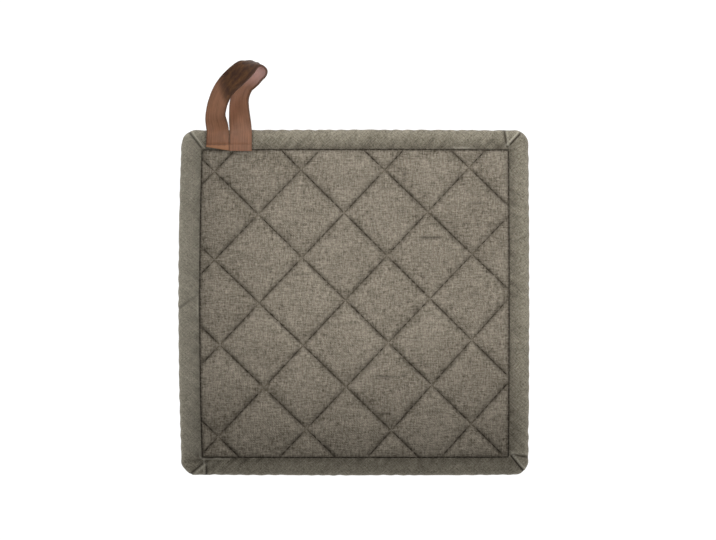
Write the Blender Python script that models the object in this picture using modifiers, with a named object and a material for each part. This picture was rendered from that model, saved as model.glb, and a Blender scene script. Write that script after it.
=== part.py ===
"""A square quilted pot holder, lying on its back, with a bound edge and a leather loop to hang it by.

The pad is one filled solid, quilted through in slanting squares that read as diamonds. A bias
binding wraps its rim, and a folded leather strap is sewn over the binding near one corner.
Positions are in metres: +X to the right, +Y towards the edge with the loop, +Z up off the table.
"""

import math

import bmesh
import bpy
from mathutils import Vector

MM = 0.001

# The whole, and where the middle of the pad lies in it: the loop stands out past the pad's far edge.
PAD_WIDTH = 198.2
PAD_DEPTH = 197.0
LOOP_REACH = 40.1
PAD_MIDDLE_Y = -LOOP_REACH / 2

# How far each side of the sewn square bows out at its middle.
BOW_LEFT = 2.0
BOW_RIGHT = 0.6
BOW_FAR = 0.4
BOW_NEAR = 0.4

# Levels above the table.
CROWN_TOP = 9.0
STITCH_TOP = 6.1
STITCH_UNDER = 1.55

# The stitched lines of the quilting, each a straight row that runs at about 45 degrees. Offset is its
# distance from the pad's middle, and tilt is how far it strays from 45 degrees, anticlockwise.
# The first and last row of each table lie outside the pad and only carry the pattern off its edge.
RISING_ROWS = (
    {"offset": -144.8, "tilt": 1.2},
    {"offset": -109.8, "tilt": 1.2},
    {"offset": -74.8, "tilt": 1.2},
    {"offset": -39.6, "tilt": 1.7},
    {"offset": -4.9, "tilt": 2.0},
    {"offset": 29.6, "tilt": 1.5},
    {"offset": 64.2, "tilt": 3.4},
    {"offset": 95.8, "tilt": 3.0},
    {"offset": 131.0, "tilt": 3.0},
)
FALLING_ROWS = (
    {"offset": -144.0, "tilt": 0.9},
    {"offset": -109.4, "tilt": 0.9},
    {"offset": -71.1, "tilt": 0.9},
    {"offset": -38.2, "tilt": 1.0},
    {"offset": -2.8, "tilt": 0.5},
    {"offset": 31.9, "tilt": 0.1},
    {"offset": 66.3, "tilt": 1.1},
    {"offset": 100.7, "tilt": 1.0},
    {"offset": 135.5, "tilt": 1.0},
)
# Where the mesh is cut between one stitched row and the next: close together beside the stitches.
CUTS_BETWEEN_ROWS = (0.0, 0.05, 0.14, 0.3, 0.5, 0.7, 0.86, 0.95)
HALF_ROW_GAP = 17.4
# The filling rises steeply beside the stitches. On the back it is full again UNDER_ROLL away from them.
SWELL_SHARPNESS = 2.6
UNDER_ROLL = 9.5
# Neighbouring faces of the mesh that turn less than this, in degrees, are joined.
FLAT_ANGLE = 0.3

# The binding: how wide it shows on each side, and its section.
SEAM_LEFT = 11.8
SEAM_RIGHT = 11.2
SEAM_FAR = 11.1
SEAM_NEAR = 9.9
OUTER_CORNER_RADIUS = 8.0
INNER_CORNER_RADIUS = 1.2
MITRE_DROP = 0.6
PUCKER_DEPTH = 0.35
PUCKER_PITCH = 13.0
SIDE_SECTIONS = 30
CORNER_SECTIONS = 6
RIM_ROOM = 2.7
SEWN_WIDTH = 11.0
# Its skin, from the lip over the front, round the rim and back under. Across is measured from the
# rim, on a binding of SEWN_WIDTH, and share is how much of a pucker that point takes.
SKIN = (
    {"across": 11.0, "level": 7.3, "share": 0.2},
    {"across": 8.6, "level": 7.9, "share": 1.0},
    {"across": 5.0, "level": 8.1, "share": 1.0},
    {"across": 2.1, "level": 7.5, "share": 0.8},
    {"across": 0.6, "level": 6.0, "share": 0.4},
    {"across": 0.0, "level": 3.9, "share": 0.0},
    {"across": 0.5, "level": 1.9, "share": 0.0},
    {"across": 1.7, "level": 0.5, "share": 0.0},
    {"across": 3.6, "level": 0.0, "share": 0.0},
    {"across": 9.6, "level": 0.0, "share": 0.0},
    {"across": 11.0, "level": 0.4, "share": 0.0},
    {"across": 11.0, "level": 1.25, "share": 0.0},
    {"across": RIM_ROOM, "level": 1.25, "share": 0.0},
    {"across": RIM_ROOM, "level": 6.4, "share": 0.0},
    {"across": 11.0, "level": 6.4, "share": 0.0},
)
PAD_INSET = RIM_ROOM + 0.3
PAD_CORNER_RADIUS = 8.0
OUTLINE_CUTS = 16

# The strap. Each row is a place along its middle line, from the left end, over the bend, to the right
# end. x and y are from the pad's middle, level is above the table, and lean is how far the strap has
# rolled over from lying flat, in degrees: 0 lies grain side up, 90 stands on its edge, 180 lies flesh
# side up.
STRAP_WIDTH = 12.6
STRAP_THICKNESS = 1.3
STRAP_ROWS = (
    {"x": -78.6, "y": 88.3, "level": 8.45, "lean": 0},
    {"x": -78.5, "y": 93.4, "level": 9.25, "lean": 0},
    {"x": -78.4, "y": 98.9, "level": 9.5, "lean": 1},
    {"x": -79.6, "y": 106.8, "level": 12.6, "lean": 29},
    {"x": -78.4, "y": 115.0, "level": 14.8, "lean": 32},
    {"x": -74.2, "y": 122.4, "level": 16.6, "lean": 26},
    {"x": -68.4, "y": 128.4, "level": 18.0, "lean": 14},
    {"x": -62.4, "y": 133.4, "level": 18.6, "lean": 30},
    {"x": -57.0, "y": 136.6, "level": 16.0, "lean": 78},
    {"x": -53.0, "y": 133.2, "level": 11.6, "lean": 114},
    {"x": -57.0, "y": 128.4, "level": 8.4, "lean": 130},
    {"x": -63.2, "y": 123.2, "level": 7.8, "lean": 136},
    {"x": -66.0, "y": 115.8, "level": 8.6, "lean": 143},
    {"x": -66.0, "y": 107.4, "level": 9.2, "lean": 156},
    {"x": -65.3, "y": 98.9, "level": 9.5, "lean": 179},
    {"x": -65.4, "y": 93.4, "level": 9.25, "lean": 180},
    {"x": -65.5, "y": 86.6, "level": 8.4, "lean": 180},
)
STRAP_STEPS = 120

LINEN = "7A7367"
LINEN_BINDING = "77705F"
LEATHER = "775540"


def linear(hex_colour):
    """The linear colour of an sRGB hex value, with full alpha."""
    channels = [int(hex_colour[i : i + 2], 16) / 255 for i in (0, 2, 4)]
    return [c / 12.92 if c <= 0.04045 else ((c + 0.055) / 1.055) ** 2.4 for c in channels] + [1.0]


def make_material(name, hex_colour, roughness):
    """A plain material of one colour."""
    material = bpy.data.materials.new(name)
    material.use_nodes = True
    shader = material.node_tree.nodes["Principled BSDF"]
    shader.inputs["Base Color"].default_value = linear(hex_colour)
    shader.inputs["Roughness"].default_value = roughness
    shader.inputs["Metallic"].default_value = 0.0
    return material


def add_object(name, bm, material, collection):
    """Turns a bmesh in millimetres about the pad's middle into a named object in metres."""
    bmesh.ops.recalc_face_normals(bm, faces=bm.faces)
    for vert in bm.verts:
        vert.co = Vector((vert.co.x, vert.co.y + PAD_MIDDLE_Y, vert.co.z)) * MM
    mesh = bpy.data.meshes.new(name)
    bm.to_mesh(mesh)
    bm.free()
    mesh.materials.append(material)
    mesh.shade_smooth()
    mesh.set_sharp_from_angle(angle=math.radians(40))
    obj = bpy.data.objects.new(name, mesh)
    collection.objects.link(obj)
    return obj


def bow(x, y):
    """Where a point of the true square goes when its sides bow out as they are sewn."""
    along_x = max(0.0, 1 - (2 * x / PAD_WIDTH) ** 2)
    along_y = max(0.0, 1 - (2 * y / PAD_DEPTH) ** 2)
    right = 0.5 + x / PAD_WIDTH
    far = 0.5 + y / PAD_DEPTH
    moved_x = x + along_y * (BOW_RIGHT * right**2 - BOW_LEFT * (1 - right) ** 2)
    moved_y = y + along_x * (BOW_FAR * far**2 - BOW_NEAR * (1 - far) ** 2)
    return moved_x, moved_y


def unbow(x, y):
    """The point of the true square that bow() takes to (x, y)."""
    square_x, square_y = x, y
    for _ in range(3):
        bowed_x, bowed_y = bow(square_x, square_y)
        square_x += x - bowed_x
        square_y += y - bowed_y
    return square_x, square_y


def row_between(rows, place):
    """The straight line at a place between two stitched rows: its offset, and its tilt in radians."""
    first = min(int(place), len(rows) - 2)
    share = place - first
    before, after = rows[first], rows[first + 1]
    offset = before["offset"] + (after["offset"] - before["offset"]) * share
    tilt = before["tilt"] + (after["tilt"] - before["tilt"]) * share
    return offset, math.radians(tilt)


def crossing(rising_place, falling_place):
    """Where a line of the rising rows meets a line of the falling rows."""
    offset_a, tilt_a = row_between(RISING_ROWS, rising_place)
    offset_b, tilt_b = row_between(FALLING_ROWS, falling_place)
    # Each line holds the points whose distance along its normal is its offset, and a tilt turns that
    # normal about the line's own middle.
    half_turn = math.radians(45)
    normal_a = (math.cos(-half_turn + tilt_a), math.sin(-half_turn + tilt_a))
    normal_b = (math.cos(half_turn + tilt_b), math.sin(half_turn + tilt_b))
    reach_a = offset_a * math.cos(tilt_a)
    reach_b = offset_b * math.cos(tilt_b)
    area = normal_a[0] * normal_b[1] - normal_a[1] * normal_b[0]
    x = (reach_a * normal_b[1] - reach_b * normal_a[1]) / area
    y = (normal_a[0] * reach_b - normal_b[0] * reach_a) / area
    return x, y


def row_place(step):
    """The place between stitched rows of a step of the mesh."""
    cuts = len(CUTS_BETWEEN_ROWS)
    return step // cuts + CUTS_BETWEEN_ROWS[step % cuts]


def from_nearest_row(place):
    """The distance in millimetres from a place between rows to the nearer row."""
    share = place - math.floor(place)
    return min(share, 1 - share) * 2 * HALF_ROW_GAP


def swell(distance, full_at):
    """How full the filling stands at a distance from stitches, from 0 to 1: steep there, then flat."""
    near = max(0.0, 1 - distance / full_at)
    return 1 - near**SWELL_SHARPNESS


def inside_seam(x, y):
    """How far a point of the true square lies inside the binding's seam."""
    return min(
        x + PAD_WIDTH / 2 - SEAM_LEFT,
        PAD_WIDTH / 2 - SEAM_RIGHT - x,
        y + PAD_DEPTH / 2 - SEAM_NEAR,
        PAD_DEPTH / 2 - SEAM_FAR - y,
    )


def cut(bm, point, normal, remove=False):
    """Cuts the whole mesh along an upright plane, and removes what lies on its normal's side if asked."""
    bmesh.ops.bisect_plane(
        bm,
        geom=bm.verts[:] + bm.edges[:] + bm.faces[:],
        dist=1e-4,
        plane_co=(point[0], point[1], 0),
        plane_no=(normal[0], normal[1], 0),
        clear_outer=remove,
    )


def trim_to_square(bm):
    """Cuts the sheet to the pad's rounded square, and cuts it along the binding's seam."""
    half_x = PAD_WIDTH / 2 - PAD_INSET
    half_y = PAD_DEPTH / 2 - PAD_INSET
    for step in range(OUTLINE_CUTS):
        angle = 2 * math.pi * step / OUTLINE_CUTS
        normal = (math.cos(angle), math.sin(angle))
        corner_x = math.copysign(half_x - PAD_CORNER_RADIUS, normal[0])
        corner_y = math.copysign(half_y - PAD_CORNER_RADIUS, normal[1])
        point = (corner_x + PAD_CORNER_RADIUS * normal[0], corner_y + PAD_CORNER_RADIUS * normal[1])
        cut(bm, point, normal, remove=True)
    cut(bm, (-PAD_WIDTH / 2 + SEAM_LEFT, 0), (-1, 0))
    cut(bm, (PAD_WIDTH / 2 - SEAM_RIGHT, 0), (1, 0))
    cut(bm, (0, PAD_DEPTH / 2 - SEAM_FAR), (0, 1))
    cut(bm, (0, -PAD_DEPTH / 2 + SEAM_NEAR), (0, -1))


def build_pad(material, collection):
    """The quilted pad: a sheet cut along its stitched rows, thickened, with every square swollen."""
    bm = bmesh.new()
    steps = (len(RISING_ROWS) - 1) * len(CUTS_BETWEEN_ROWS)
    bmesh.ops.create_grid(bm, x_segments=steps, y_segments=steps, size=steps / 2)
    rising_layer = bm.verts.layers.float.new("rising")
    falling_layer = bm.verts.layers.float.new("falling")
    for vert in bm.verts:
        rising_place = row_place(round(vert.co.x + steps / 2))
        falling_place = row_place(round(vert.co.y + steps / 2))
        vert[rising_layer] = rising_place
        vert[falling_layer] = falling_place
        vert.co = (*unbow(*crossing(rising_place, falling_place)), 0)
    trim_to_square(bm)
    under = bm.faces[:]
    made = bmesh.ops.extrude_face_region(bm, geom=under)
    upper = {item for item in made["geom"] if isinstance(item, bmesh.types.BMVert)}
    for vert in bm.verts:
        from_rising = from_nearest_row(vert[rising_layer])
        from_falling = from_nearest_row(vert[falling_layer])
        from_seam = max(0.0, inside_seam(vert.co.x, vert.co.y))
        x, y = bow(vert.co.x, vert.co.y)
        if vert in upper:
            fullness = swell(from_rising, HALF_ROW_GAP) * swell(from_falling, HALF_ROW_GAP)
            fullness *= swell(from_seam, UNDER_ROLL)
            level = STITCH_TOP + (CROWN_TOP - STITCH_TOP) * fullness
        else:
            fullness = swell(from_rising, UNDER_ROLL) * swell(from_falling, UNDER_ROLL)
            fullness *= swell(from_seam, UNDER_ROLL)
            level = STITCH_UNDER * (1 - fullness)
        vert.co = (x, y, level)
    bmesh.ops.dissolve_limit(bm, angle_limit=math.radians(FLAT_ANGLE), verts=bm.verts, edges=bm.edges)
    bmesh.ops.triangulate(bm, faces=bm.faces)
    return add_object("quilted_pad", bm, material, collection)


def rim_stations():
    """Round the binding, anticlockwise: each station's point on the rim and its point on the seam."""
    corners = (
        {"x": 1, "y": 1, "seam_x": SEAM_RIGHT, "seam_y": SEAM_FAR},
        {"x": -1, "y": 1, "seam_x": SEAM_LEFT, "seam_y": SEAM_FAR},
        {"x": -1, "y": -1, "seam_x": SEAM_LEFT, "seam_y": SEAM_NEAR},
        {"x": 1, "y": -1, "seam_x": SEAM_RIGHT, "seam_y": SEAM_NEAR},
    )
    fans = []
    for turn, corner in enumerate(corners):
        edge = Vector((corner["x"] * PAD_WIDTH / 2, corner["y"] * PAD_DEPTH / 2))
        inwards = Vector((corner["x"], corner["y"]))
        seam_corner = edge - Vector((corner["x"] * corner["seam_x"], corner["y"] * corner["seam_y"]))
        fan = []
        for step in range(CORNER_SECTIONS + 1):
            share = step / CORNER_SECTIONS
            angle = math.radians(90) * (turn + share)
            out = Vector((math.cos(angle), math.sin(angle)))
            rim = edge - (inwards - out) * OUTER_CORNER_RADIUS
            seam = seam_corner - (inwards - out) * INNER_CORNER_RADIUS
            fan.append({"rim": rim, "seam": seam, "mitre": 1 - abs(2 * share - 1)})
        fans.append(fan)
    stations = []
    for turn, fan in enumerate(fans):
        stations.extend(fan)
        side_start = fan[-1]
        side_end = fans[(turn + 1) % len(fans)][0]
        for step in range(1, SIDE_SECTIONS):
            share = step / SIDE_SECTIONS
            rim = side_start["rim"].lerp(side_end["rim"], share)
            seam = side_start["seam"].lerp(side_end["seam"], share)
            stations.append({"rim": rim, "seam": seam, "mitre": 0.0})
    return stations


def build_binding(material, collection):
    """The bias binding: one folded section, carried round the rim, with shallow puckers on its front."""
    bm = bmesh.new()
    sections = []
    travelled = 0.0
    before = None
    for station in rim_stations():
        if before is not None:
            travelled += (station["rim"] - before).length
        before = station["rim"]
        wave = math.sin(2 * math.pi * travelled / PUCKER_PITCH + 1.7 * math.sin(travelled / 31))
        pucker = PUCKER_DEPTH * (0.5 - 0.5 * wave)
        section = []
        for point in SKIN:
            place = station["rim"].lerp(station["seam"], point["across"] / SEWN_WIDTH)
            drop = point["share"] * (pucker + MITRE_DROP * station["mitre"])
            section.append(bm.verts.new((*bow(place.x, place.y), point["level"] - drop)))
        sections.append(section)
    for index, section in enumerate(sections):
        following = sections[(index + 1) % len(sections)]
        for side in range(len(SKIN)):
            beside = (side + 1) % len(SKIN)
            bm.faces.new((section[side], section[beside], following[beside], following[side]))
    bmesh.ops.triangulate(bm, faces=bm.faces)
    return add_object("binding", bm, material, collection)


def smooth_through(values, share):
    """A value at a share of the way along evenly spaced values, on a smooth curve through them all."""
    place = share * (len(values) - 1)
    first = min(int(place), len(values) - 2)
    t = place - first
    p0, p1, p2, p3 = (values[max(0, min(len(values) - 1, first + k))] for k in (-1, 0, 1, 2))
    return 0.5 * (
        2 * p1 + (p2 - p0) * t + (2 * p0 - 5 * p1 + 4 * p2 - p3) * t**2 + (3 * p1 - p0 - 3 * p2 + p3) * t**3
    )


def strap_section(share):
    """At a share of the way along: the middle point, the way across, and the grain side's normal."""

    def middle(at):
        return Vector([smooth_through([row[key] for row in STRAP_ROWS], at) for key in ("x", "y", "level")])

    small = 0.25 / STRAP_STEPS
    ahead = (middle(min(1.0, share + small)) - middle(max(0.0, share - small))).normalized()
    lean = math.radians(smooth_through([row["lean"] for row in STRAP_ROWS], share))
    level_across = Vector((ahead.y, -ahead.x, 0)).normalized()
    up_across = level_across.cross(ahead)
    across = level_across * math.cos(lean) + up_across * math.sin(lean)
    return middle(share), across, across.cross(ahead)


def build_loop(material, collection):
    """The hanging loop: one strap, both ends side by side on the binding, bent over on itself."""
    bm = bmesh.new()
    bmesh.ops.create_grid(bm, x_segments=STRAP_STEPS, y_segments=2, size=1)
    for vert in bm.verts:
        middle, across, _ = strap_section((vert.co.x + 1) / 2)
        vert.co = middle + across * (vert.co.y * STRAP_WIDTH / 2)
    bmesh.ops.recalc_face_normals(bm, faces=bm.faces)
    loop = add_object("hanging_loop", bm, material, collection)
    thickness = loop.modifiers.new("thickness", "SOLIDIFY")
    thickness.thickness = STRAP_THICKNESS * MM
    thickness.offset = 0.0
    thickness.use_even_offset = True
    return loop


def main():
    """Builds the pot holder's three solids in a collection of their own."""
    for obj in list(bpy.data.objects):
        bpy.data.objects.remove(obj, do_unlink=True)
    collection = bpy.data.collections.new("pot_holder")
    bpy.context.scene.collection.children.link(collection)
    build_pad(make_material("linen_panel", LINEN, 0.9), collection)
    build_binding(make_material("linen_binding", LINEN_BINDING, 0.9), collection)
    build_loop(make_material("leather", LEATHER, 0.55), collection)


main()
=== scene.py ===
"""The looks of a quilted linen pot holder with a leather loop, lying on its back on a white table.

Each section makes one piece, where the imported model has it, with its cloth, leather or thread. Lengths
are in millimetres about the middle of the pad until to_model() takes them to the model's own frame.
"""

import math

import bmesh
import bpy
import numpy as np
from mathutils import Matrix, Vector, noise


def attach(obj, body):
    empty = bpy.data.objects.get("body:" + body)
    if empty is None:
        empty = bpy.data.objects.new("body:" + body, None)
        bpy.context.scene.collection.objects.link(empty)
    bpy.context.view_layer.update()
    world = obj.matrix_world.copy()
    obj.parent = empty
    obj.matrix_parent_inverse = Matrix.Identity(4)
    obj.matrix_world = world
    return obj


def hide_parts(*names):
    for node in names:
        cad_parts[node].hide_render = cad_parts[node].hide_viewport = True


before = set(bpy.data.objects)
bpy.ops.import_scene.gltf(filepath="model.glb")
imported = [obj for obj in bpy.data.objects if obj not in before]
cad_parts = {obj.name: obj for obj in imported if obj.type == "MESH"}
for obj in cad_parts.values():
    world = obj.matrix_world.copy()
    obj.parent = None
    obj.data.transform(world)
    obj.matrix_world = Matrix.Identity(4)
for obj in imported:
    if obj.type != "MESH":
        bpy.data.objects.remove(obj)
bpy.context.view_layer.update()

# Camera, table and lights. The camera stands straight above, far enough back that the raised loop
# hardly leans outwards, and frames the pad where the photograph does. It lies in a white light tent: the
# walls are brightest low down, so rims are pale and ditches dark, and the table glows. A softbox with a
# grid hangs low over the upper middle, so the near edge is darker. The photograph's scale is the one at
# MEASURED_LEVEL, where the pad's stitches lie.
MM = 0.001
PAD_MIDDLE_Y = -20.05
PHOTO_WIDTH = 716
PHOTO_MIDDLE_PIXEL = (358.0, 270.0)
PAD_MIDDLE_PIXEL = (355.0, 302.5)
MM_PER_PIXEL = 0.5714
MEASURED_LEVEL = 6.0
LENS = 400
SENSOR = 36
TABLE_HALF_WIDTH = 3.0
TABLE_LEVEL = -0.0002

camera_x = (PHOTO_MIDDLE_PIXEL[0] - PAD_MIDDLE_PIXEL[0]) * MM_PER_PIXEL
camera_y = PAD_MIDDLE_Y + (PAD_MIDDLE_PIXEL[1] - PHOTO_MIDDLE_PIXEL[1]) * MM_PER_PIXEL
camera_rise = PHOTO_WIDTH * MM_PER_PIXEL * LENS / SENSOR
camera_level = camera_rise + MEASURED_LEVEL
bpy.ops.object.camera_add(location=(camera_x * MM, camera_y * MM, camera_level * MM))
camera = bpy.context.object
camera.name = "camera"
camera.rotation_euler = (0, 0, 0)
camera.data.lens = LENS
camera.data.sensor_width = SENSOR
bpy.context.scene.camera = camera
bpy.context.scene.view_settings.view_transform = "Standard"

bpy.ops.mesh.primitive_plane_add(size=2 * TABLE_HALF_WIDTH, location=(0, 0, TABLE_LEVEL))
table = bpy.context.object
table.name = "white_table"


def linear(hex_colour):
    """The linear colour of an sRGB hex value, with full alpha."""
    channels = [int(hex_colour[i : i + 2], 16) / 255 for i in (0, 2, 4)]
    return [c / 12.92 if c <= 0.04045 else ((c + 0.055) / 1.055) ** 2.4 for c in channels] + [1.0]


def add_node(material, kind, settings=None, inputs=None):
    """Adds a node to a material. A value of inputs is set on that socket, and an output is linked to it."""
    node = material.node_tree.nodes.new(kind)
    for name, value in (settings or {}).items():
        setattr(node, name, value)
    for name, value in (inputs or {}).items():
        if isinstance(value, bpy.types.NodeSocket):
            material.node_tree.links.new(value, node.inputs[name])
        else:
            node.inputs[name].default_value = value
    return node


def new_material(name):
    """A material with only its output, and that output."""
    material = bpy.data.materials.new(name)
    material.use_nodes = True
    material.node_tree.nodes.clear()
    return material, add_node(material, "ShaderNodeOutputMaterial")


def finish_with(material, output, shader):
    """Links a shader to a material's output."""
    material.node_tree.links.new(shader.outputs[0], output.inputs["Surface"])


lacquer, lacquer_output = new_material("white_lacquer")
lacquer_shader = add_node(
    lacquer,
    "ShaderNodeBsdfPrincipled",
    inputs={
        "Base Color": linear("5A5A5A"),
        "Roughness": 0.7,
        "Emission Color": (1, 1, 1, 1),
        "Emission Strength": 1.02,
    },
)
finish_with(lacquer, lacquer_output, lacquer_shader)
table.data.materials.append(lacquer)

TENT_STRENGTH = 0.95
TENT_FAR_SHARE = 0.5
tent = bpy.data.worlds.new("light_tent")
tent.use_nodes = True
background = tent.node_tree.nodes["Background"]
direction = add_node(tent, "ShaderNodeTexCoord")
split_direction = add_node(tent, "ShaderNodeSeparateXYZ", inputs={"Vector": direction.outputs["Generated"]})
height_squared = add_node(
    tent,
    "ShaderNodeMath",
    {"operation": "MULTIPLY"},
    {0: split_direction.outputs["Z"], 1: split_direction.outputs["Z"]},
)
wall = add_node(
    tent,
    "ShaderNodeMath",
    {"operation": "MULTIPLY_ADD"},
    {0: height_squared.outputs[0], 1: -TENT_STRENGTH, 2: TENT_STRENGTH},
)
far_side = add_node(
    tent,
    "ShaderNodeMath",
    {"operation": "MULTIPLY_ADD"},
    {0: split_direction.outputs["Y"], 1: TENT_FAR_SHARE, 2: 1.0},
)
glow = add_node(
    tent,
    "ShaderNodeMath",
    {"operation": "MULTIPLY"},
    {0: wall.outputs[0], 1: far_side.outputs[0]},
)
tent.node_tree.links.new(glow.outputs[0], background.inputs["Strength"])
background.inputs["Color"].default_value = (1, 1, 1, 1)
bpy.context.scene.world = tent

SOFTBOX_X = 0.023
SOFTBOX_Y = 0.034
SOFTBOX_RISE = 0.21
SOFTBOX_SIZE = 0.22
SOFTBOX_SPREAD = 42
SOFTBOX_WATTS = 0.102
bpy.ops.object.light_add(type="AREA", location=(SOFTBOX_X, SOFTBOX_Y, SOFTBOX_RISE))
softbox = bpy.context.object
softbox.name = "softbox"
softbox.data.size = SOFTBOX_SIZE
softbox.data.spread = math.radians(SOFTBOX_SPREAD)
softbox.data.energy = SOFTBOX_WATTS

# The quilted pad: a front and a back of grey-beige linen with wadding between, sewn through in slanting
# rows. Its form starts as the solid's own crowned squares. The front is then eased as cloth between
# its stitch holes, so that it puckers along the rows, and it has a few soft creases.
PAD_WIDTH = 198.2
PAD_DEPTH = 197.0
BOW_LEFT = 2.0
BOW_RIGHT = 0.6
BOW_FAR = 0.4
BOW_NEAR = 0.4
CROWN_TOP = 9.0
STITCH_TOP = 6.1
STITCH_UNDER = 1.55
GROOVE_SHARPNESS = 4.6
NOTCH_DEPTH = 0.55
NOTCH_WIDTH = 1.5
# The rows run at about 45 degrees. Offset is the distance from the pad's middle, and tilt how far the
# row strays from 45 degrees. The first and last of each table lie outside the pad.
RISING_ROWS = (
    {"offset": -144.8, "tilt": 1.2},
    {"offset": -109.8, "tilt": 1.2},
    {"offset": -74.8, "tilt": 1.2},
    {"offset": -39.6, "tilt": 1.7},
    {"offset": -4.9, "tilt": 2.0},
    {"offset": 29.6, "tilt": 1.5},
    {"offset": 64.2, "tilt": 3.4},
    {"offset": 95.8, "tilt": 3.0},
    {"offset": 131.0, "tilt": 3.0},
)
FALLING_ROWS = (
    {"offset": -144.0, "tilt": 0.9},
    {"offset": -109.4, "tilt": 0.9},
    {"offset": -71.1, "tilt": 0.9},
    {"offset": -38.2, "tilt": 1.0},
    {"offset": -2.8, "tilt": 0.5},
    {"offset": 31.9, "tilt": 0.1},
    {"offset": 66.3, "tilt": 1.1},
    {"offset": 100.7, "tilt": 1.0},
    {"offset": 135.5, "tilt": 1.0},
)
HALF_ROW_GAP = 17.4
UNDER_ROLL = 9.5
SEAM_LEFT = 11.8
SEAM_RIGHT = 11.2
SEAM_FAR = 11.1
SEAM_NEAR = 9.9
PAD_INSET = 3.0
PAD_CORNER_RADIUS = 8.0
OUTLINE_CUTS = 16
FRONT_STEPS = 36
BACK_STEPS = 24
STITCHES_BETWEEN_ROWS = 9
# The creases in the front that hold from how it was folded and pressed: a soft trough each. A millimetre
# of its depth paints CREASE_SHADE of a groove's painted shade into it.
CREASES = (
    {"x": 43.4, "y": 37.1, "length": 13.5, "angle": 0, "depth": 0.512},
    {"x": 68.9, "y": 56.6, "length": 6.5, "angle": -2, "depth": 0.416},
    {"x": 16.7, "y": -42.3, "length": 10.5, "angle": -4, "depth": 0.416},
    {"x": 17.0, "y": -63.6, "length": 8.5, "angle": 0, "depth": 0.384},
    {"x": 34.6, "y": -20.0, "length": 9.0, "angle": 2, "depth": 0.224},
    {"x": 44.0, "y": -62.6, "length": 9.0, "angle": 0, "depth": 0.224},
    {"x": -60.0, "y": -57.7, "length": 4.5, "angle": 90, "depth": 0.320},
    {"x": 28.0, "y": 72.3, "length": 6.5, "angle": 86, "depth": 0.384},
    {"x": -36.5, "y": -84.0, "length": 9.0, "angle": 3, "depth": 0.192},
    {"x": -52.0, "y": 20.0, "length": 7.0, "angle": -8, "depth": 0.192},
    {"x": -8.0, "y": -12.2, "length": 21.0, "angle": 4, "depth": 0.208},
    {"x": -63.0, "y": -7.0, "length": 19.0, "angle": -2, "depth": 0.192},
    {"x": -31.0, "y": 16.0, "length": 10.0, "angle": 3, "depth": 0.240},
    {"x": -13.0, "y": 37.4, "length": 9.0, "angle": 2, "depth": 0.240},
    {"x": 71.0, "y": 4.5, "length": 10.0, "angle": -5, "depth": 0.192},
)
CREASE_WIDTH = 0.8
CREASE_SHADE = 2.148


def bow(x, y):
    """Where a point of the true square goes when its sides bow out as they are sewn."""
    along_x = np.maximum(0.0, 1 - (2 * x / PAD_WIDTH) ** 2)
    along_y = np.maximum(0.0, 1 - (2 * y / PAD_DEPTH) ** 2)
    right = 0.5 + x / PAD_WIDTH
    far = 0.5 + y / PAD_DEPTH
    moved_x = x + along_y * (BOW_RIGHT * right**2 - BOW_LEFT * (1 - right) ** 2)
    moved_y = y + along_x * (BOW_FAR * far**2 - BOW_NEAR * (1 - far) ** 2)
    return moved_x, moved_y


def unbow(x, y):
    """The point of the true square that bow() takes to (x, y)."""
    square_x, square_y = x, y
    for _ in range(3):
        bowed_x, bowed_y = bow(square_x, square_y)
        square_x = square_x + x - bowed_x
        square_y = square_y + y - bowed_y
    return square_x, square_y


def row_between(rows, place):
    """The straight line at a place between two stitched rows: its offset, and its tilt in radians."""
    numbers = range(len(rows))
    offset = np.interp(place, numbers, [row["offset"] for row in rows])
    tilt = np.interp(place, numbers, [row["tilt"] for row in rows])
    return offset, np.radians(tilt)


def crossing(rising_place, falling_place):
    """Where a line of the rising rows meets a line of the falling rows."""
    offset_a, tilt_a = row_between(RISING_ROWS, rising_place)
    offset_b, tilt_b = row_between(FALLING_ROWS, falling_place)
    slope = math.radians(45)
    normal_a = (np.cos(tilt_a - slope), np.sin(tilt_a - slope))
    normal_b = (np.cos(tilt_b + slope), np.sin(tilt_b + slope))
    reach_a = offset_a * np.cos(tilt_a)
    reach_b = offset_b * np.cos(tilt_b)
    area = normal_a[0] * normal_b[1] - normal_a[1] * normal_b[0]
    x = (reach_a * normal_b[1] - reach_b * normal_a[1]) / area
    y = (normal_a[0] * reach_b - normal_b[0] * reach_a) / area
    return x, y


def from_nearest_row(place):
    """The distance in millimetres from a place between rows to the nearer row."""
    share = place - np.floor(place)
    return np.minimum(share, 1 - share) * 2 * HALF_ROW_GAP


def swell(distance, full_at, sharpness=2.6):
    """How full the filling stands at a distance from stitches, from 0 to 1: steep there, then flat."""
    return 1 - np.maximum(0.0, 1 - distance / full_at) ** sharpness


def inside_seam(x, y):
    """How far a point of the true square lies inside the binding's seam."""
    across = np.minimum(x + PAD_WIDTH / 2 - SEAM_LEFT, PAD_WIDTH / 2 - SEAM_RIGHT - x)
    up = np.minimum(y + PAD_DEPTH / 2 - SEAM_NEAR, PAD_DEPTH / 2 - SEAM_FAR - y)
    return np.minimum(across, up)


def nearness(distance, width):
    """1 at no distance, a third at the width and almost nothing at twice the width."""
    return np.exp(-((distance / width) ** 2))


def rough(x, y, size):
    """Smooth unevenness from about -1 to 1, whose lumps are about size millimetres."""
    return np.array([noise.noise((a / size, b / size, size)) for a, b in zip(x, y)])


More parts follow.
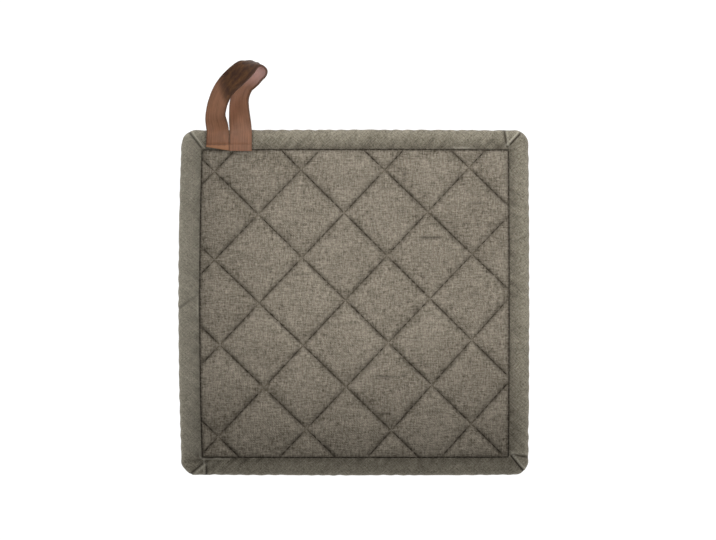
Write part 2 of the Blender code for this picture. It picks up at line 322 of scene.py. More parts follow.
def trimmed_sheet(steps_between_rows):
    """A flat sheet in the true square, cut along the rows and between them, with the pad's outline."""
    bm = bmesh.new()
    steps = (len(RISING_ROWS) - 1) * steps_between_rows
    bmesh.ops.create_grid(bm, x_segments=steps, y_segments=steps, size=steps / 2)
    rising = bm.verts.layers.float.new("rising")
    falling = bm.verts.layers.float.new("falling")
    far_out = []
    for vert in bm.verts:
        vert[rising] = (round(vert.co.x + steps / 2)) / steps_between_rows
        vert[falling] = (round(vert.co.y + steps / 2)) / steps_between_rows
    places = np.array([(vert[rising], vert[falling]) for vert in bm.verts])
    x, y = unbow(*crossing(places[:, 0], places[:, 1]))
    for vert, point_x, point_y in zip(bm.verts, x, y):
        vert.co = (point_x, point_y, 0)
        if max(abs(point_x), abs(point_y)) > PAD_WIDTH / 2:
            far_out.append(vert)
    bmesh.ops.delete(bm, geom=far_out, context="VERTS")
    half_x = PAD_WIDTH / 2 - PAD_INSET
    half_y = PAD_DEPTH / 2 - PAD_INSET
    for step in range(OUTLINE_CUTS):
        angle = math.radians(360 / OUTLINE_CUTS * step)
        normal = Vector((math.cos(angle), math.sin(angle), 0))
        corner_x = math.copysign(half_x - PAD_CORNER_RADIUS, normal.x)
        corner_y = math.copysign(half_y - PAD_CORNER_RADIUS, normal.y)
        bmesh.ops.bisect_plane(
            bm,
            geom=bm.verts[:] + bm.edges[:] + bm.faces[:],
            dist=1e-4,
            plane_co=Vector((corner_x, corner_y, 0)) + normal * PAD_CORNER_RADIUS,
            plane_no=normal,
            clear_outer=True,
        )
    return bm


def to_object(name, bm):
    """A new object of the scene from a bmesh, which is freed."""
    mesh = bpy.data.meshes.new(name)
    bm.to_mesh(mesh)
    bm.free()
    obj = bpy.data.objects.new(name, mesh)
    bpy.context.scene.collection.objects.link(obj)
    return obj


def points_of(mesh):
    """The mesh's points as an array of rows."""
    flat = np.zeros(len(mesh.vertices) * 3)
    mesh.vertices.foreach_get("co", flat)
    return flat.reshape(-1, 3)


def set_points(obj, points):
    """Puts the object's points where the array's rows say."""
    obj.data.vertices.foreach_set("co", np.ascontiguousarray(points, dtype=float).ravel())
    obj.data.update()


def measures_of(obj, name):
    """One number a point, from a named attribute of the object."""
    flat = np.zeros(len(obj.data.vertices))
    obj.data.attributes[name].data.foreach_get("value", flat)
    return flat


def give_measure(obj, name, values):
    """Keeps one number a point on the object, for its material to read."""
    attribute = obj.data.attributes.get(name) or obj.data.attributes.new(name, "FLOAT", "POINT")
    attribute.data.foreach_set("value", np.asarray(values, dtype=float))


# The cloth between the stitches is a little longer than the thread that holds it, and the slack shows
# as puckers. It is eased at EASE_SCALE times its size, where the cloth solver's limits suit it: it grows
# by SLACK_GROWTH near the stitches, and no point moves further than EASE_CAP.
EASE_SCALE = 20.0
EASE_FRAMES = 18
EASE_CAP = 0.55
SLACK_GROWTH = 0.045
SLACK_REACH = 7.0
SEAM_HOLD = 0.4

front = to_object("pad_front", trimmed_sheet(FRONT_STEPS))
rising_place = measures_of(front, "rising")
falling_place = measures_of(front, "falling")
square = points_of(front.data)
from_rising = from_nearest_row(rising_place)
from_falling = from_nearest_row(falling_place)
from_seam = np.maximum(0.0, inside_seam(square[:, 0], square[:, 1]))
fullness = swell(from_rising, HALF_ROW_GAP, GROOVE_SHARPNESS)
fullness *= swell(from_falling, HALF_ROW_GAP, GROOVE_SHARPNESS) * swell(from_seam, UNDER_ROLL)
front_x, front_y = bow(square[:, 0], square[:, 1])
crowned = np.stack([front_x, front_y, STITCH_TOP + (CROWN_TOP - STITCH_TOP) * fullness], axis=1)

from_stitches = np.minimum(from_rising, from_falling)
from_sewing = np.minimum(from_stitches, from_seam)
slack = nearness(from_sewing, SLACK_REACH)
hole_step = FRONT_STEPS // STITCHES_BETWEEN_ROWS
rising_step = np.rint(rising_place * FRONT_STEPS)
falling_step = np.rint(falling_place * FRONT_STEPS)
on_lattice = np.abs(rising_place * FRONT_STEPS - rising_step) < 1e-3
on_lattice &= np.abs(falling_place * FRONT_STEPS - falling_step) < 1e-3
rising_hole = (rising_step % FRONT_STEPS == 0) & (falling_step % hole_step == 0)
falling_hole = (falling_step % FRONT_STEPS == 0) & (rising_step % hole_step == 0)
held = (on_lattice & (rising_hole | falling_hole)) | (from_seam < SEAM_HOLD)

puckered = crowned.copy()
set_points(front, crowned * EASE_SCALE * MM)
held_group = front.vertex_groups.new(name="held")
slack_group = front.vertex_groups.new(name="slack")
for index in range(len(crowned)):
    if held[index]:
        held_group.add([index], 1.0, "REPLACE")
    slack_group.add([index], float(slack[index]), "REPLACE")
ease = front.modifiers.new("ease", "CLOTH")
ease.settings.quality = 6
ease.settings.mass = 0.15
ease.settings.tension_stiffness = 20
ease.settings.compression_stiffness = 20
ease.settings.shear_stiffness = 8
ease.settings.bending_stiffness = 0.6
ease.settings.vertex_group_mass = "held"
ease.settings.vertex_group_shrink = "slack"
ease.settings.shrink_min = 0.0
ease.settings.shrink_max = -SLACK_GROWTH
ease.settings.use_pressure = True
ease.settings.uniform_pressure_force = 1.2
ease.settings.effector_weights.gravity = 0.0
ease.point_cache.frame_start = 1
ease.point_cache.frame_end = EASE_FRAMES
for step in range(1, EASE_FRAMES + 1):
    bpy.context.scene.frame_set(step)
depsgraph = bpy.context.evaluated_depsgraph_get()
eased_mesh = bpy.data.meshes.new_from_object(front.evaluated_get(depsgraph))
moved = points_of(eased_mesh) / (EASE_SCALE * MM) - crowned
far = np.maximum(1.0, np.linalg.norm(moved, axis=1) / EASE_CAP)
puckered = crowned + moved / far[:, None]
front.modifiers.remove(ease)
bpy.data.meshes.remove(eased_mesh)
bpy.context.scene.frame_set(1)

# The creases, the ditch along each row and the wadding's lumps are pressed into the eased cloth. Painted
# shade is how much shade is painted on a point of the cloth, from 0 to a little over 1.
LUMP_HEIGHT = 0.22
painted_shade = np.zeros(len(puckered))
for crease in CREASES:
    angle = math.radians(crease["angle"])
    away_x = puckered[:, 0] - crease["x"]
    away_y = puckered[:, 1] - crease["y"]
    along = away_x * math.cos(angle) + away_y * math.sin(angle)
    across = away_y * math.cos(angle) - away_x * math.sin(angle)
    trough = np.exp(-((across / CREASE_WIDTH) ** 2) - (2 * along / crease["length"]) ** 4)
    puckered[:, 2] -= crease["depth"] * trough
    painted_shade = np.maximum(painted_shade, CREASE_SHADE * crease["depth"] * trough)
puckered[:, 2] -= NOTCH_DEPTH * nearness(from_stitches, NOTCH_WIDTH) * np.minimum(1.0, from_seam / 1.5)
lumps = rough(puckered[:, 0], puckered[:, 1], 21.0) + 0.5 * rough(puckered[:, 0], puckered[:, 1], 9.0)
puckered[:, 2] += LUMP_HEIGHT * lumps * np.minimum(1.0, from_sewing / 8)

# A groove's painted shade is a narrow line that strays a little from the row, in a wide faint hollow. It
# is patchy from one stitch to the next, and where two rows cross the cloth is drawn flat and it fades.
GROOVE_LINE = 0.8
GROOVE_HOLLOW = 2.6
GROOVE_HOLLOW_SHADE = 0.12
RISING_SHADE = 0.85
FALLING_SHADE = 1.05
GROOVE_STRAY = 0.45
SEAM_LINE = 0.9
SEAM_HOLLOW = 2.5
DEEPEST_SHADE = 1.3
patchy = 0.95 + 0.8 * rough(front_x, front_y, 2.8) + 0.35 * rough(front_x, front_y, 13.0)
stray = GROOVE_STRAY * rough(front_x, front_y, 4.5) / (2 * HALF_ROW_GAP)
rising_groove = RISING_SHADE * nearness(from_nearest_row(rising_place + stray), GROOVE_LINE)
rising_groove += GROOVE_HOLLOW_SHADE * nearness(from_rising, GROOVE_HOLLOW)
rising_groove *= 1 - 0.75 * nearness(from_falling, 2.6)
falling_groove = FALLING_SHADE * nearness(from_nearest_row(falling_place + stray), GROOVE_LINE)
falling_groove += GROOVE_HOLLOW_SHADE * nearness(from_falling, GROOVE_HOLLOW)
falling_groove *= 1 - 0.6 * nearness(from_rising, 2.8)
seam_groove = nearness(from_seam, SEAM_LINE) + 0.2 * nearness(from_seam, SEAM_HOLLOW)
painted_shade = np.maximum(painted_shade, np.maximum(rising_groove, falling_groove) * patchy)
painted_shade = np.minimum(np.maximum(painted_shade, seam_groove), DEEPEST_SHADE)

back = to_object("pad_back", trimmed_sheet(BACK_STEPS))
back_square = points_of(back.data)
back_from_rising = from_nearest_row(measures_of(back, "rising"))
back_from_falling = from_nearest_row(measures_of(back, "falling"))
back_from_seam = np.maximum(0.0, inside_seam(back_square[:, 0], back_square[:, 1]))
back_fullness = swell(back_from_rising, UNDER_ROLL) * swell(back_from_falling, UNDER_ROLL)
back_fullness = back_fullness * swell(back_from_seam, UNDER_ROLL)
back_x, back_y = bow(back_square[:, 0], back_square[:, 1])
back_points = np.stack([back_x, back_y, STITCH_UNDER * (1 - back_fullness)], axis=1)
# The back's grooves and seam get painted shade too.
back_groove = nearness(np.minimum(back_from_rising, back_from_falling), GROOVE_LINE)
back_painted_shade = np.maximum(back_groove, nearness(back_from_seam, SEAM_LINE))


def to_model(points):
    """Rows of millimetres about the pad's middle, as metres in the model's frame."""
    return (np.asarray(points, dtype=float) + (0, PAD_MIDDLE_Y, 0)) * MM


def join_and_close(upper, lower):
    """Joins the pad's two faces into one mesh, and closes the wall between their outlines."""
    bpy.ops.object.select_all(action="DESELECT")
    for obj in (upper, lower):
        obj.select_set(True)
    bpy.context.view_layer.objects.active = upper
    bpy.ops.object.join()
    bm = bmesh.new()
    bm.from_mesh(upper.data)
    rim = [edge for edge in bm.edges if edge.is_boundary]
    bmesh.ops.bridge_loops(bm, edges=rim)
    bmesh.ops.recalc_face_normals(bm, faces=bm.faces)
    bm.to_mesh(upper.data)
    bm.free()


set_points(front, to_model(puckered))
set_points(back, to_model(back_points))
give_measure(front, "painted_shade", painted_shade)
give_measure(back, "painted_shade", back_painted_shade)
join_and_close(front, back)
pad = front
pad.name = "linen_pad"
pad.data.shade_smooth()

# Linen chambray: a plain weave of beige and dark olive yarns, washed but not bleached. It gives the eye
# short slubs both ways over a fine even grain. Real threads are about 0.5 mm apart. They are drawn 0.7 mm
# apart and their slubs 0.6 mm wide, because finer ones don't show at the photograph's size.
THREAD_PITCH = 0.7
SLUB_WIDTH = 0.62
SLUB_LENGTH = 3.8
SPECK_SIZE = 0.85
CLOUD_LENGTH = 26.0
CLOUD_WIDTH = 18.0
LINEN_PALE = "A2998A"
LINEN_DARK = "4F483B"
# The colour that painted shade darkens the linen towards.
PAINTED_SHADE_COLOUR = "2A2218"
# The colour that painted highlights pale the linen towards.
HIGHLIGHT_LINEN = "CDC8B8"


def woven_linen(name, pale, dark, grain_angle, from_uv, slub_share):
    """Linen whose threads run at an angle to the object, or to its UV map in metres."""
    material, output = new_material(name)
    where = add_node(material, "ShaderNodeTexCoord")
    placed = add_node(
        material,
        "ShaderNodeMapping",
        inputs={
            "Vector": where.outputs["UV" if from_uv else "Object"],
            "Rotation": (0, 0, math.radians(grain_angle)),
            "Scale": (1 / MM, 1 / MM, 1 / MM),
        },
    )

    def slubs(width, length, detail):
        """Noise drawn out along one set of threads."""
        stretched = add_node(
            material,
            "ShaderNodeMapping",
            inputs={"Vector": placed.outputs[0], "Scale": (1 / width, 1 / length, 0.2)},
        )
        made = add_node(
            material,
            "ShaderNodeTexNoise",
            inputs={"Vector": stretched.outputs[0], "Scale": 1.0, "Detail": detail, "Roughness": 0.6},
        )
        return made.outputs["Fac"]

    warp = slubs(SLUB_WIDTH, SLUB_LENGTH, 2.0)
    weft = slubs(SLUB_LENGTH, SLUB_WIDTH, 2.0)
    speck = slubs(SPECK_SIZE, SPECK_SIZE, 0.5)
    cloud = slubs(CLOUD_LENGTH, CLOUD_WIDTH, 2.0)
    both = add_node(material, "ShaderNodeMath", {"operation": "ADD"}, {0: warp, 1: weft})
    some_slubs = add_node(
        material, "ShaderNodeMath", {"operation": "MULTIPLY"}, {0: both.outputs[0], 1: slub_share}
    )
    with_specks = add_node(
        material,
        "ShaderNodeMath",
        {"operation": "MULTIPLY_ADD"},
        {0: speck, 1: 0.65, 2: some_slubs.outputs[0]},
    )
    with_clouds = add_node(
        material,
        "ShaderNodeMath",
        {"operation": "MULTIPLY_ADD"},
        {0: cloud, 1: 0.35, 2: with_specks.outputs[0]},
    )
    share = add_node(
        material,
        "ShaderNodeMapRange",
        inputs={
            "Value": with_clouds.outputs[0],
            "From Min": slub_share + 0.09,
            "From Max": slub_share + 0.91,
            "To Min": 0.0,
            "To Max": 1.0,
        },
    )
    # On a colour Mix node, input 0 is the factor, 6 and 7 the two colours, and output 2 the colour.
    cloth = add_node(
        material,
        "ShaderNodeMix",
        {"data_type": "RGBA"},
        {0: share.outputs[0], 6: linear(dark), 7: linear(pale)},
    )
    # Painted shade in the grooves, creases, folds and the seam's ditch darkens the cloth.
    depth = add_node(material, "ShaderNodeAttribute", {"attribute_name": "painted_shade"})
    shaded = add_node(
        material, "ShaderNodeMath", {"operation": "MULTIPLY"}, {0: depth.outputs["Fac"], 1: 0.62}
    )
    in_shade = add_node(
        material,
        "ShaderNodeMix",
        {"data_type": "RGBA"},
        {0: shaded.outputs[0], 6: cloth.outputs[2], 7: linear(PAINTED_SHADE_COLOUR)},
    )
    # Painted highlights on fold crests and folded edges pale the cloth.
    highlight_share = add_node(material, "ShaderNodeAttribute", {"attribute_name": "painted_highlight"})
    colour = add_node(
        material,
        "ShaderNodeMix",
        {"data_type": "RGBA"},
        {0: highlight_share.outputs["Fac"], 6: in_shade.outputs[2], 7: linear(HIGHLIGHT_LINEN)},
    )
    split = add_node(material, "ShaderNodeSeparateXYZ", inputs={"Vector": placed.outputs[0]})
    waves = []
    for axis in ("X", "Y"):
        turned = add_node(
            material,
            "ShaderNodeMath",
            {"operation": "MULTIPLY"},
            {0: split.outputs[axis], 1: math.pi / THREAD_PITCH},
        )
        waves.append(add_node(material, "ShaderNodeMath", {"operation": "SINE"}, {0: turned.outputs[0]}))
    weave = add_node(
        material,
        "ShaderNodeMath",
        {"operation": "MULTIPLY"},
        {0: waves[0].outputs[0], 1: waves[1].outputs[0]},
    )
    raised = add_node(
        material,
        "ShaderNodeMath",
        {"operation": "MULTIPLY_ADD"},
        {0: weave.outputs[0], 1: 0.35, 2: both.outputs[0]},
    )
    relief = add_node(
        material,
        "ShaderNodeBump",
        inputs={"Height": raised.outputs[0], "Strength": 0.75, "Distance": 0.32 * MM},
    )
    shader = add_node(
        material,
        "ShaderNodeBsdfPrincipled",
        inputs={
            "Base Color": colour.outputs[2],
            "Roughness": 0.92,
            "Normal": relief.outputs[0],
            "Sheen Weight": 0.06,
            "Sheen Roughness": 0.5,
            "Specular IOR Level": 0.25,
        },
    )
    finish_with(material, output, shader)
    return material


pad.data.materials.clear()
pad.data.materials.append(woven_linen("washed_linen", LINEN_PALE, LINEN_DARK, 0, False, 1.0))
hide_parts("quilted_pad")
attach(pad, "root")

# The quilting thread: dark olive-brown cotton, sewn by machine in a lockstitch. On either face each
# stitch lies from one hole to the next, pressed into the groove that it draws.
STITCH_THICKNESS = 0.72
STITCH_SHARE = 0.76
STITCH_RISE = 0.08
STITCH_STRAY = 0.45
STRAY_SEED = 3
FLATTENED_REACH = 3.2
SEAM_CLEARANCE = 0.8
# THREAD_DARK is the thread with the painted shade of its groove, THREAD_PALE the thread with less of it.
THREAD_DARK = "2C2418"
THREAD_PALE = "6B6150"


def one_stitch():
    """The points and faces of a stitch one long and one thick, thin at its ends, where it dives."""
    bpy.ops.mesh.primitive_uv_sphere_add(segments=6, ring_count=6, radius=0.5)
    model = bpy.context.object
    model.rotation_euler = (0, math.radians(90), 0)
    bpy.ops.object.transform_apply(location=False, rotation=True, scale=False)
    points = points_of(model.data)
    faces = [tuple(face.vertices) for face in model.data.polygons]
    bpy.data.objects.remove(model)
    return points, faces


def sew(name, stitches, thickness):
    """One object of all the stitches, each by its two ends in millimetres and how flat it lies, with less
    painted shade.
    """
    model_points, model_faces = one_stitch()
    points = []
    faces = []
    paleness = []
    for start, end, flat_and_unshaded in stitches:
        ahead = end - start
        length = ahead.length
        turn = ahead.to_track_quat("X", "Z").to_matrix()
        middle = (start + end) / 2
        # Hand-fed cloth makes some stitches thick and some thin, and one painted with less shade lies
        # flatter.
        thick = thickness * (1 + 0.35 * noise.noise(middle / 2.5)) * (1 - 0.3 * flat_and_unshaded)
        for point in model_points:
            local = Vector((point[0] * length, point[1] * thick, point[2] * thick))
            points.append(middle + turn @ local)
            paleness.append(flat_and_unshaded)
        shift = len(points) - len(model_points)
        faces.extend(tuple(index + shift for index in face) for face in model_faces)
    mesh = bpy.data.meshes.new(name)
    mesh.from_pydata(to_model(points).tolist(), [], faces)
    mesh.validate()
    mesh.shade_smooth()
    obj = bpy.data.objects.new(name, mesh)
    bpy.context.scene.collection.objects.link(obj)
    give_measure(obj, "flat_and_unshaded", paleness)
    return obj


front_level = {
    (int(r), int(f)): puckered[index, 2]
    for index, (r, f) in enumerate(zip(rising_step, falling_step))
    if on_lattice[index]
}
# The stitches stray from their row by the same amounts in each run.
noise.seed_set(STRAY_SEED)
front_stitches = []
back_stitches = []
last_hole = (len(RISING_ROWS) - 1) * STITCHES_BETWEEN_ROWS
for along_rising in (True, False):
    for row_number in range(1, len(RISING_ROWS) - 1):
        for hole in range(last_hole):
            ends = []
            for step in (hole, hole + 0.5, hole + 1):
                other = step / STITCHES_BETWEEN_ROWS
                spot = (row_number, other) if along_rising else (other, row_number)
                ends.append(crossing(*spot))
            square_ends = [unbow(*end) for end in ends]
            if min(inside_seam(*end) for end in square_ends) < SEAM_CLEARANCE:
                continue
            key = (row_number * FRONT_STEPS, int(round((hole + 0.5) * hole_step)))
            level = front_level.get(key if along_rising else key[::-1], STITCH_TOP) + STITCH_RISE
            start = Vector((ends[0][0], ends[0][1], level))
            end = Vector((ends[2][0], ends[2][1], level))
            middle = (start + end) / 2
            start += noise.noise_vector(start / 4.0) * STITCH_STRAY
            end += noise.noise_vector(end / 4.0) * STITCH_STRAY
            start.z = end.z = level
            half = (end - start) * STITCH_SHARE / 2
            # Where two rows cross, the thread is pressed flat and painted with less shade, and here and
            # there besides.
            from_crossing = from_nearest_row((hole + 0.5) / STITCHES_BETWEEN_ROWS)
            flattened = nearness(from_crossing, FLATTENED_REACH) * (0.8 + 0.6 * noise.noise(middle / 12))
            uneven = 0.55 * noise.noise(middle / 5.5 + Vector((40, 0, 0)))
            flat_and_unshaded = min(1.0, max(0.0, flattened + uneven + (0.12 if along_rising else 0.0)))
            front_stitches.append((middle - half, middle + half, flat_and_unshaded))
            under = Vector((0, 0, STITCH_UNDER - STITCH_RISE - level))
            back_stitches.append((middle - half + under, middle + half + under, 0.0))

cotton, cotton_output = new_material("brown_cotton_thread")
thread_shade = add_node(cotton, "ShaderNodeAttribute", {"attribute_name": "flat_and_unshaded"})
thread_colour = add_node(
    cotton,
    "ShaderNodeMix",
    {"data_type": "RGBA"},
    {0: thread_shade.outputs["Fac"], 6: linear(THREAD_DARK), 7: linear(THREAD_PALE)},
)
thread_shader = add_node(
    cotton,
    "ShaderNodeBsdfPrincipled",
    inputs={"Base Color": thread_colour.outputs[2], "Roughness": 0.75, "Specular IOR Level": 0.3},
)
finish_with(cotton, cotton_output, thread_shader)

for name, stitches in (("front_quilting_thread", front_stitches), ("back_quilting_thread", back_stitches)):
    quilting = sew(name, stitches, STITCH_THICKNESS)
    quilting.data.materials.append(cotton)
    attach(quilting, "root")

# The binding: one strip of the same linen cut on the bias, its edges turned in, folded over the pad's
# rim and sewn through just inside. It is one cloth about half a millimetre thick, with soft slanting
# puckers from the bias, a folded mitre at each corner and the slanting join of the strip's ends.
OUTER_CORNER_RADIUS = 8.0
INNER_CORNER_RADIUS = 1.2
SEWN_WIDTH = 11.0
CLOTH_THICKNESS = 0.5
STATION_GAP = 0.85
CORNER_STATIONS = 36
CORNER_CROWDING = 0.6
SKIN_STEPS = 36
# Its section along the middle of the cloth, from the turned-in edge under the lip, over the front, round
# the rim and back under. Across is measured in from the rim on a binding of SEWN_WIDTH, level is above
# the table, and share is how much of a pucker that point takes.
SKIN = (
    {"across": 6.0, "level": 6.70, "share": 0.0},
    {"across": 8.6, "level": 6.70, "share": 0.0},
    {"across": 10.3, "level": 6.70, "share": 0.0},
    {"across": 10.85, "level": 6.92, "share": 0.2},
    {"across": 10.2, "level": 7.22, "share": 0.6},
    {"across": 8.5, "level": 7.66, "share": 1.0},
    {"across": 6.5, "level": 7.98, "share": 1.0},
    {"across": 4.4, "level": 8.02, "share": 1.0},
    {"across": 2.3, "level": 7.55, "share": 1.0},
    {"across": 0.9, "level": 6.3, "share": 0.9},
    {"across": 0.26, "level": 4.3, "share": 0.7},
    {"across": 0.6, "level": 2.2, "share": 0.4},
    {"across": 1.7, "level": 0.75, "share": 0.1},
    {"across": 3.5, "level": 0.27, "share": 0.0},
    {"across": 6.6, "level": 0.26, "share": 0.0},
    {"across": 9.7, "level": 0.27, "share": 0.0},
    {"across": 10.85, "level": 0.56, "share": 0.0},
    {"across": 9.7, "level": 0.86, "share": 0.0},
    {"across": 6.0, "level": 0.88, "share": 0.0},
)
# The mitres and tucks on its front, each a straight fold. Depth is its groove, step how far the cloth on
# its left side, going from the first end to the second, lies over the cloth on its right.
BINDING_FOLDS = (
    {"from_x": -94.2, "from_y": 96.8, "to_x": -88.0, "to_y": 88.6, "depth": 0.5, "step": 0.5},
    {"from_x": 94.0, "from_y": 96.0, "to_x": 87.5, "to_y": 89.0, "depth": 0.5, "step": -0.5},
    {"from_x": 85.4, "from_y": 97.6, "to_x": 86.6, "to_y": 89.3, "depth": 0.45, "step": 0.3},
    {"from_x": -93.4, "from_y": -97.6, "to_x": -86.4, "to_y": -91.6, "depth": 0.4, "step": -0.5},
    {"from_x": -84.9, "from_y": -98.4, "to_x": -84.9, "to_y": -89.6, "depth": 0.5, "step": 0.3},
    {"from_x": 89.1, "from_y": -87.6, "to_x": 96.6, "to_y": -96.6, "depth": 0.5, "step": 0.5},
    {"from_x": 89.7, "from_y": -86.9, "to_x": 98.4, "to_y": -88.2, "depth": 0.4, "step": 0.2},
    {"from_x": -99.8, "from_y": -2.6, "to_x": -90.3, "to_y": 4.0, "depth": 0.32, "step": 0.25},
    {"from_x": -95.4, "from_y": 17.7, "to_x": -90.9, "to_y": 14.0, "depth": 0.18, "step": 0.0},
    {"from_x": 90.5, "from_y": 34.8, "to_x": 97.0, "to_y": 37.5, "depth": 0.2, "step": 0.1},
)
FOLD_WIDTH = 0.6
FOLD_SHADE_WIDTH = 0.75
FOLD_REACH = 4.0
FOLD_ENDS = 1.2
PUCKER_DEPTH = 0.62
PUCKER_PITCH = 7.6
PUCKER_SLANT = 0.8
LUMP_DEPTH = 0.25
FRONT_LEVEL = 3.5
STRIP_INNER_LINE = -88.0
DEEPEST_FOLD = 1.6
STRAP_LEFT = -85.1
STRAP_RIGHT = -58.7
STRAP_NEAR_END = 84.0


def smooth_through(values, share):
    """A value at a share of the way along evenly spaced values, on a smooth curve through them all."""
    place = share * (len(values) - 1)
    first = min(int(place), len(values) - 2)
    t = place - first
    p0, p1, p2, p3 = (values[max(0, min(len(values) - 1, first + k))] for k in (-1, 0, 1, 2))
    return 0.5 * (
        2 * p1 + (p2 - p0) * t + (2 * p0 - 5 * p1 + 4 * p2 - p3) * t**2 + (3 * p1 - p0 - 3 * p2 + p3) * t**3
    )


def along_skin(name):
    """One measure of the section, on the smooth curve through SKIN, at each of its steps."""
    values = [row[name] for row in SKIN]
    return np.array([smooth_through(values, step / SKIN_STEPS) for step in range(SKIN_STEPS + 1)])


def binding_stations():
    """Round the binding, anticlockwise from its right side's far end: rim point, seam point and side."""
    corners = (
        {"x": 1, "y": 1, "seam_x": SEAM_RIGHT, "seam_y": SEAM_FAR},
        {"x": -1, "y": 1, "seam_x": SEAM_LEFT, "seam_y": SEAM_FAR},
        {"x": -1, "y": -1, "seam_x": SEAM_LEFT, "seam_y": SEAM_NEAR},
        {"x": 1, "y": -1, "seam_x": SEAM_RIGHT, "seam_y": SEAM_NEAR},
    )
    fans = []
    for turn, corner in enumerate(corners):
        edge = Vector((corner["x"] * PAD_WIDTH / 2, corner["y"] * PAD_DEPTH / 2))
        inwards = Vector((corner["x"], corner["y"]))
        seam_corner = edge - Vector((corner["x"] * corner["seam_x"], corner["y"] * corner["seam_y"]))
        fan = []
        for step in range(CORNER_STATIONS + 1):
            # The stations crowd towards the mitre, in the middle of the fan.
            from_mitre = 2 * step / CORNER_STATIONS - 1
            share = 0.5 + 0.5 * from_mitre * abs(from_mitre) ** CORNER_CROWDING
            angle = math.radians(90) * (turn + share)
            out = Vector((math.cos(angle), math.sin(angle)))
            rim = edge - (inwards - out) * OUTER_CORNER_RADIUS
            seam = seam_corner - (inwards - out) * INNER_CORNER_RADIUS
            fan.append({"rim": rim, "seam": seam, "side": turn if from_mitre < 0 else (turn + 1) % 4})
        fans.append(fan)
    stations = []
    for turn, fan in enumerate(fans):
        stations.extend(fan)
        start = fan[-1]
        end = fans[(turn + 1) % 4][0]
        count = round((end["rim"] - start["rim"]).length / STATION_GAP)
        for step in range(1, count):
            share = step / count
            rim = start["rim"].lerp(end["rim"], share)
            seam = start["seam"].lerp(end["seam"], share)
            stations.append({"rim": rim, "seam": seam, "side": (turn + 1) % 4})
    return stations


stations = binding_stations()
skin_across = along_skin("across")
skin_level = along_skin("level")
skin_share = along_skin("share")
skin_length = np.concatenate([[0], np.cumsum(np.hypot(np.diff(skin_across), np.diff(skin_level)))])
rim_points = np.array([station["rim"][:] for station in stations])
seam_points = np.array([station["seam"][:] for station in stations])
inward_share = (skin_across / SEWN_WIDTH)[None, :, None]
plan = rim_points[:, None, :] * (1 - inward_share) + seam_points[:, None, :] * inward_share
skin_x, skin_y = bow(plan[:, :, 0], plan[:, :, 1])
skin = np.stack([skin_x, skin_y, np.broadcast_to(skin_level, skin_x.shape)], axis=2)


def skin_rough(size):
    """The unevenness over the whole strip, in lumps of about size millimetres."""
    return rough(skin_x.ravel(), skin_y.ravel(), size).reshape(skin_x.shape)


def past(place, bound):
    """0 where the place lies well above the bound and 1 well below it, with a soft change between."""
    return 1 / (1 + np.exp((place - bound) / 1.2))


# The bias puckers slant over the section, wander, and come and go along the strip. Each gets some painted
# shade, and so does the cloth towards the seam, where it is drawn down; blotches make it patchy.
ahead = np.roll(skin, -1, axis=0) - np.roll(skin, 1, axis=0)
over = np.gradient(skin, axis=1)
outwards = np.cross(over, ahead)
outwards /= np.linalg.norm(outwards, axis=2)[:, :, None]
travelled = np.concatenate([[0], np.cumsum(np.linalg.norm(np.diff(rim_points, axis=0), axis=1))])
slant = travelled[:, None] + PUCKER_SLANT * skin_length[None, :]
ripple = 0.5 - 0.5 * np.sin(2 * math.pi * slant / PUCKER_PITCH + 5.0 * skin_rough(30.0))
strength = 0.55 + 0.8 * skin_rough(17.0)
lift = -PUCKER_DEPTH * ripple * strength - LUMP_DEPTH * skin_rough(5.0)
towards_seam = np.clip(skin_across / SEWN_WIDTH, 0, 1)[None, :]
blotches = 0.5 + 0.9 * skin_rough(6.0)
binding_painted_shade = 0.6 * np.clip(ripple * strength, 0, 1) ** 2 * (0.25 + 0.75 * towards_seam)
binding_painted_shade = binding_painted_shade + 0.85 * towards_seam**1.5 * np.clip(0.75 + 0.4 * blotches, 0, 1.4)
binding_painted_shade = np.clip(binding_painted_shade - 0.12 + 0.12 * blotches, 0, 1)
# The near strip gets more painted shade than the others, most towards its seam.
near_strip = past(skin_y, STRIP_INNER_LINE)
binding_painted_shade = binding_painted_shade + 0.25 * near_strip * (0.35 + 0.65 * towards_seam)
# The left strip gets a faint painted highlight all over.
left_strip = past(skin_x, STRIP_INNER_LINE)
binding_highlight = 0.13 * left_strip * (1 - near_strip)
# Folds, and the painted shade and highlights that go with them and with the seam's edge, are on the
# front alone, and not on the turned-in edge under it, SKIN's first rows.
turned_in = SKIN_STEPS * 3 / (len(SKIN) - 1)
on_front = ((skin_level > FRONT_LEVEL) & (np.arange(SKIN_STEPS + 1) > turned_in))[None, :]
for fold in BINDING_FOLDS:
    start = np.array([fold["from_x"], fold["from_y"]])
    along_fold = np.array([fold["to_x"], fold["to_y"]]) - start
    length = np.linalg.norm(along_fold)
    along_fold = along_fold / length
    away = skin[:, :, :2] - start
    along = away @ along_fold
    beside = away[:, :, 1] * along_fold[0] - away[:, :, 0] * along_fold[1]
    past_end = np.maximum(0.0, np.maximum(-along, along - length))
    near = nearness(past_end, FOLD_ENDS) * on_front
    lap = np.tanh(beside / (0.5 * FOLD_WIDTH)) * np.exp(-np.abs(beside) / FOLD_REACH) * near
    lift = lift - fold["depth"] * nearness(beside, FOLD_WIDTH) * near + 0.5 * fold["step"] * lap
    fold_shade = min(DEEPEST_FOLD, 3.4 * fold["depth"]) * nearness(beside, FOLD_SHADE_WIDTH) * near
    binding_painted_shade = np.maximum(binding_painted_shade, fold_shade)
    # The crest of a fold gets a painted highlight, on the side that lies on top.
    crest = nearness(beside * math.copysign(1.0, fold["step"]) - 1.35, 0.4) * near
    binding_highlight = np.maximum(binding_highlight, abs(fold["step"]) * crest)
